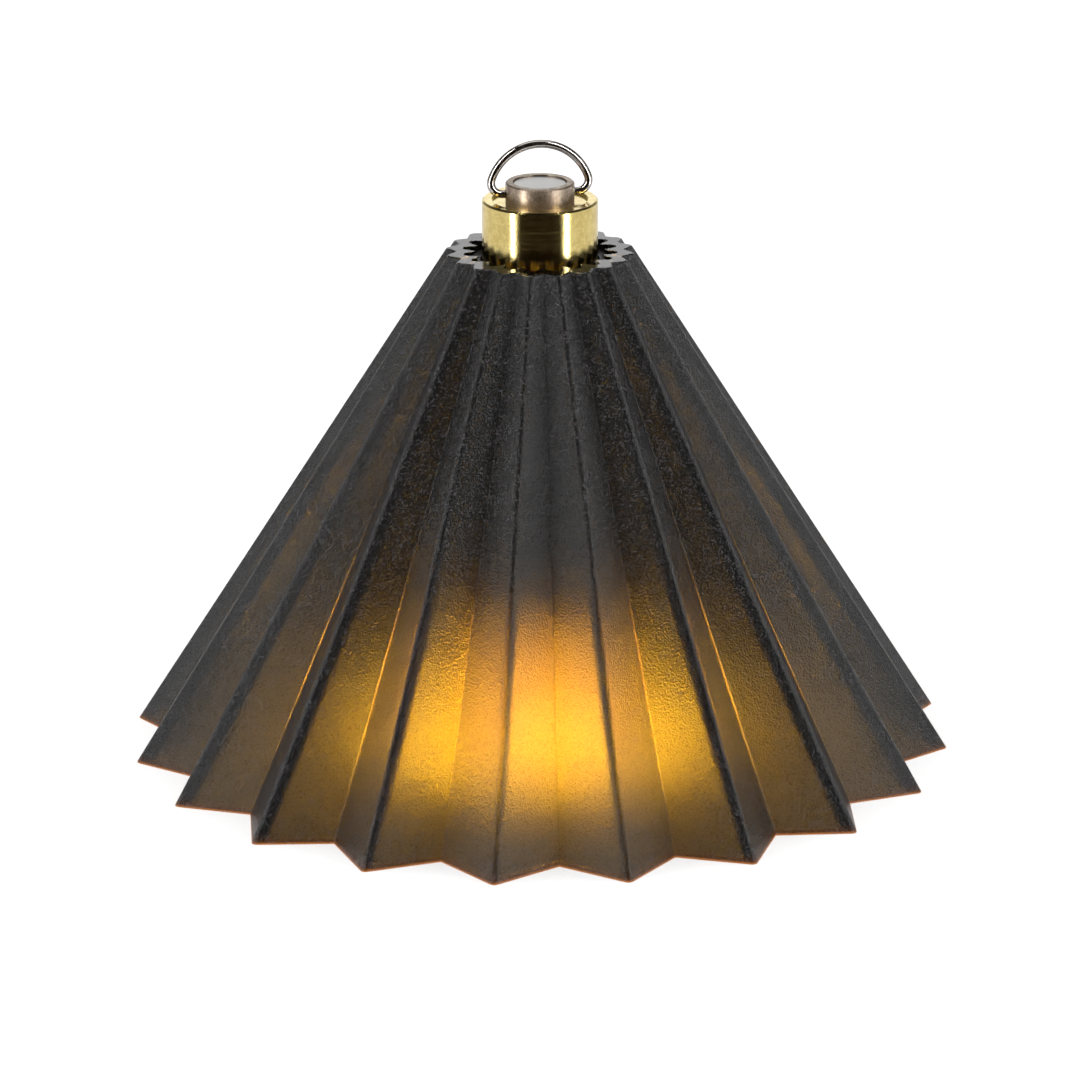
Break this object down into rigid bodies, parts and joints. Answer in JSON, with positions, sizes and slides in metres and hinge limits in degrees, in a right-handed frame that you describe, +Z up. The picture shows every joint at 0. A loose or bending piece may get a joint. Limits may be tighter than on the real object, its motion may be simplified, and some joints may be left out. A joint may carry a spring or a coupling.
{
  "type": "table lamp",
  "caption": "Small battery lantern standing under a pleated translucent bell shade, with a turning brass tail cap, magnet and swinging hanging ring.",
  "frame": {"origin": "middle of the shade's rim, on the table", "axes": "+Z up along the lantern, +X along the hanging ring's bar, -Y to the front"},
  "size_m": [0.1358, 0.1358, 0.1021],
  "materials": {
    "smoke_plastic": "translucent smoke, fine grain",
    "black_plastic": "moulded black",
    "clear_globe": "clear, polished",
    "frosted_diffuser": "frosted, lit from inside",
    "brass": "satin turned",
    "black_aluminium": "black anodised",
    "plain_aluminium": "machined",
    "rubber": "black",
    "board_white": "white solder mask",
    "board_green": "green solder mask",
    "phosphor": "warm phosphor",
    "wire_red": "insulated",
    "wire_black": "insulated",
    "component": "dark",
    "contact_gold": "plated",
    "cell_wrap": "wrapped can",
    "spring_steel": "plain wire",
    "satin_steel": "satin turned",
    "magnet_nickel": "nickel plated, brushed",
    "polished_steel": "polished wire"
  },
  "bodies": {
    "lantern": {"shade_carrier": "black_plastic", "globe": "clear_globe", "diffuser": "frosted_diffuser", "globe_collar": "brass", "globe_seal": "rubber", "battery_tube": "black_aluminium", "cap_seal": "rubber", "lamp_cup": "plain_aluminium", "emitter_board": "board_white", "emitter": "phosphor", "red_lead": "wire_red", "black_lead": "wire_black", "driver_board": "board_green", "driver_parts": "component", "front_contact": "contact_gold", "cell_button": "contact_gold", "battery_cell": "cell_wrap"},
    "spring_carriage": {"contact_spring": "spring_steel"},
    "tail": {"tail_cap": "brass", "tail_stud": "satin_steel", "stud_nut": "plain_aluminium", "magnet": "magnet_nickel"},
    "bail": {"hanging_ring": "polished_steel"},
    "cover": {"shade": "smoke_plastic"}
  },
  "joints": [
    {"name": "cap_rise", "type": "slide", "parent": "lantern", "child": "spring_carriage", "axis": [0, 0, 1], "range_m": [0, 0.005]},
    {"name": "cap_turn", "type": "hinge", "parent": "spring_carriage", "child": "tail", "pos_m": [0, 0, 0.085], "axis": [0, 0, 1], "range_deg": [0, 1800]},
    {"name": "ring_swing", "type": "hinge", "parent": "tail", "child": "bail", "pos_m": [0, 0, 0.09344], "axis": [1, 0, 0], "range_deg": [-86, 94]},
    {"name": "shade_lift", "type": "slide", "parent": "lantern", "child": "cover", "axis": [0, 0, 1], "range_m": [0, 0.11]}
  ],
  "couplings": [
    {"joint": "cap_rise", "follows": "cap_turn", "m_per_rad": 0.00015915}
  ]
}
